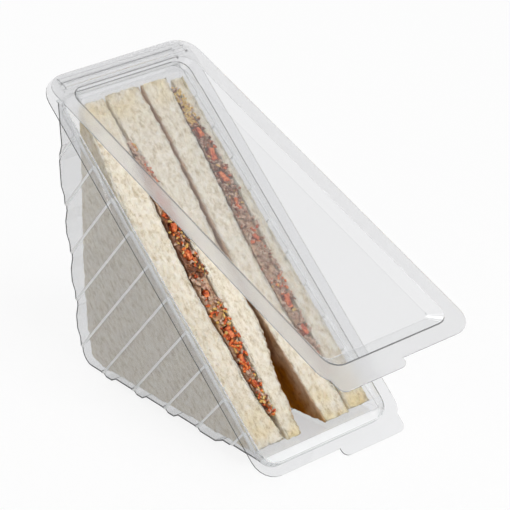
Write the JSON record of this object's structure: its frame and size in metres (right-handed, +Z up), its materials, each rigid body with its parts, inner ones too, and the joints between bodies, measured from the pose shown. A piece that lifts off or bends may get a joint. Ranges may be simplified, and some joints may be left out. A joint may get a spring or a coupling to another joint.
{
  "type": "sandwich wedge pack",
  "caption": "Clear hinged wedge pack, ribbed tray under a slanting mouth with a plug-in lid ajar, holding filled triangle-cut sandwiches side by side.",
  "frame": {"origin": "on the surface that the pack stands on, under the middle of its box with the lid ajar", "axes": "+X across the pack, -Y to the open front, +Z up"},
  "size_m": [0.0728, 0.171, 0.1253],
  "materials": {
    "clear_film": "clear thermoformed film, glossy",
    "bread": "soft white crumb without crust, open pores",
    "filling": "moist flaked mix, dull with wet spots",
    "carrot": "moist orange-red vegetable pieces"
  },
  "bodies": {
    "tray": {"tray": "clear_film", "bread_slice_near_outer": "bread", "bread_slice_near_inner": "bread", "bread_slice_far_inner": "bread", "bread_slice_far_outer": "bread", "filling_near": "filling", "filling_far": "filling", "carrot_piece_near_1": "carrot", "carrot_piece_near_2": "carrot", "carrot_piece_near_3": "carrot", "carrot_piece_near_4": "carrot", "carrot_piece_near_5": "carrot", "carrot_piece_near_6": "carrot", "carrot_piece_near_7": "carrot", "carrot_piece_near_8": "carrot", "carrot_piece_far_1": "carrot", "carrot_piece_far_2": "carrot", "carrot_piece_far_3": "carrot", "carrot_piece_far_4": "carrot", "carrot_piece_far_5": "carrot", "carrot_piece_far_6": "carrot", "carrot_piece_far_7": "carrot", "carrot_piece_far_8": "carrot"},
    "lid": {"lid": "clear_film"}
  },
  "joints": [
    {"name": "lid_hinge", "type": "hinge", "parent": "tray", "child": "lid", "pos_m": [0.00082, 0.08523, 0.12481], "axis": [-1, 0, 0], "range_deg": [-20.7, 159.3]}
  ]
}
